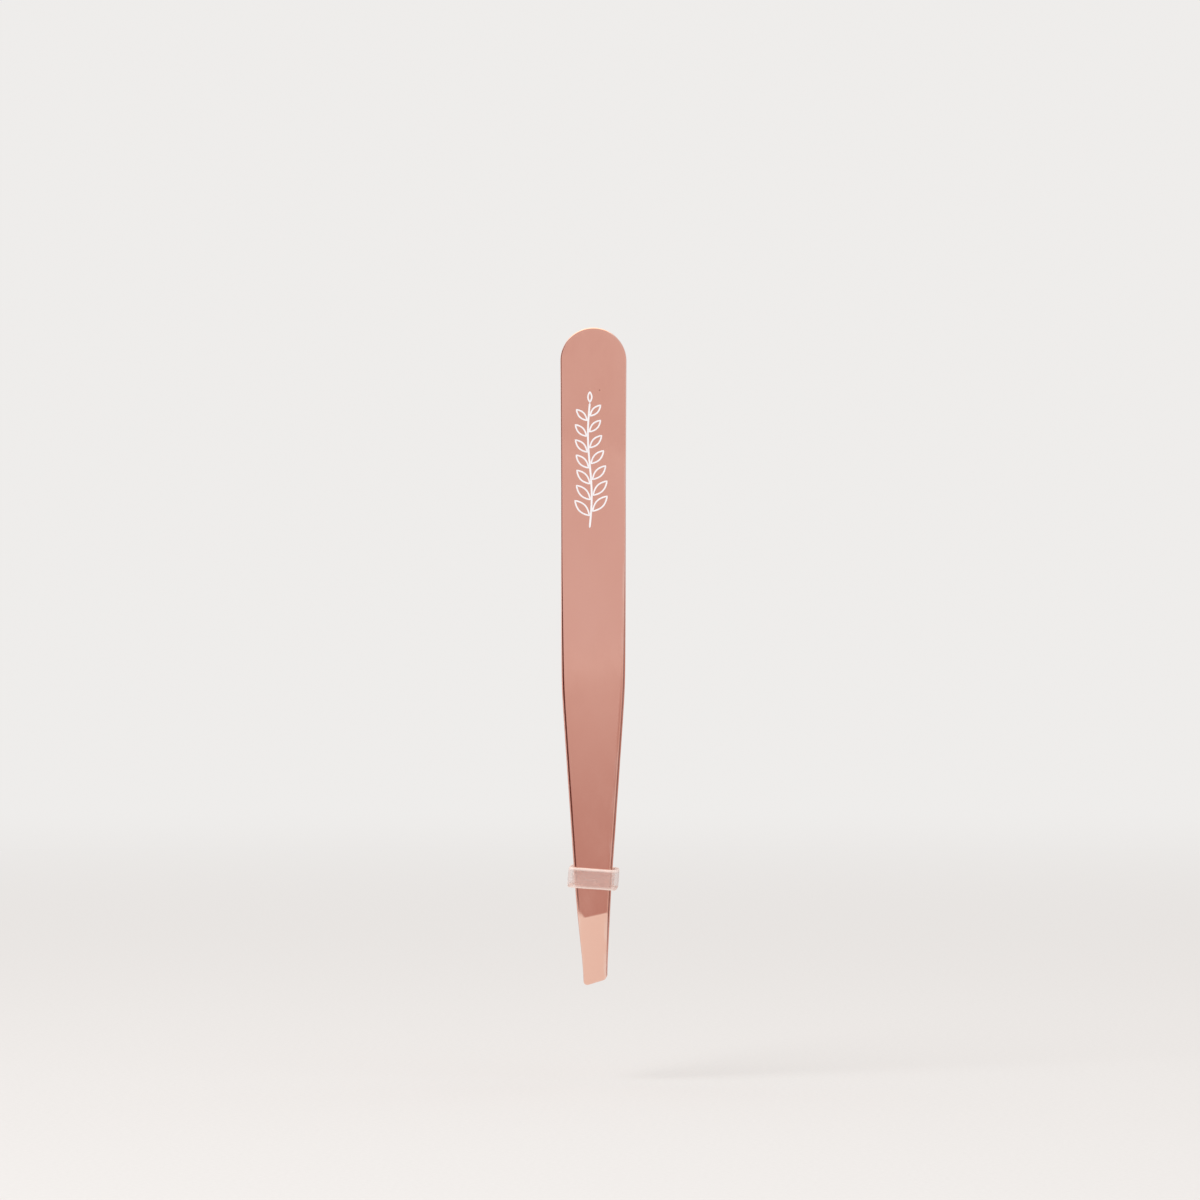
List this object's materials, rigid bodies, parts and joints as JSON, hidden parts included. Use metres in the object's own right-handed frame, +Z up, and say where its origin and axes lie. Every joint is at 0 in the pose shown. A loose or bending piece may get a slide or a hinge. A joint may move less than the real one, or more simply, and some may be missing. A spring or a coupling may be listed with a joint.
{
  "type": "slant tweezers",
  "caption": "Flat two-arm tweezers with a rounded welded head, a slanted tip and a clear keeper ring round the arms.",
  "frame": {"origin": "on the plane between the two arms, under the middle of the head, at the height of the lowest corner of the tips", "axes": "+Z up along the length from the tips to the head; the front arm lies on the -Y side and the rear arm on the +Y side; the slanted edge of the tips rises towards +X"},
  "size_m": [0.0096, 0.0108, 0.0952],
  "materials": {
    "rose_gold_steel": "gloss",
    "weld_steel": "matte",
    "clear_vinyl": "satin"
  },
  "bodies": {
    "head": {"front_arm_head": "rose_gold_steel", "rear_arm_head": "rose_gold_steel", "weld_nugget_upper": "weld_steel", "weld_nugget_lower": "weld_steel"},
    "front_arm": {"front_arm_blade": "rose_gold_steel"},
    "rear_arm": {"rear_arm_blade": "rose_gold_steel"},
    "ring": {"tip_ring": "clear_vinyl"}
  },
  "joints": [
    {"name": "front_arm_squeeze", "type": "hinge", "parent": "head", "child": "front_arm", "pos_m": [0, -0.00078, 0.074], "axis": [1, 0, 0], "range_deg": [0, 1.2], "stiffness_Nm_per_rad": 5},
    {"name": "rear_arm_squeeze", "type": "hinge", "parent": "head", "child": "rear_arm", "pos_m": [0, 0.00078, 0.074], "axis": [-1, 0, 0], "range_deg": [0, 1.2], "stiffness_Nm_per_rad": 5},
    {"name": "ring_slide", "type": "slide", "parent": "head", "child": "ring", "axis": [0, 0, -1], "range_m": [0, 0.022]}
  ],
  "couplings": [
    {"joint": "rear_arm_squeeze", "follows": "front_arm_squeeze", "ratio": 1}
  ]
}
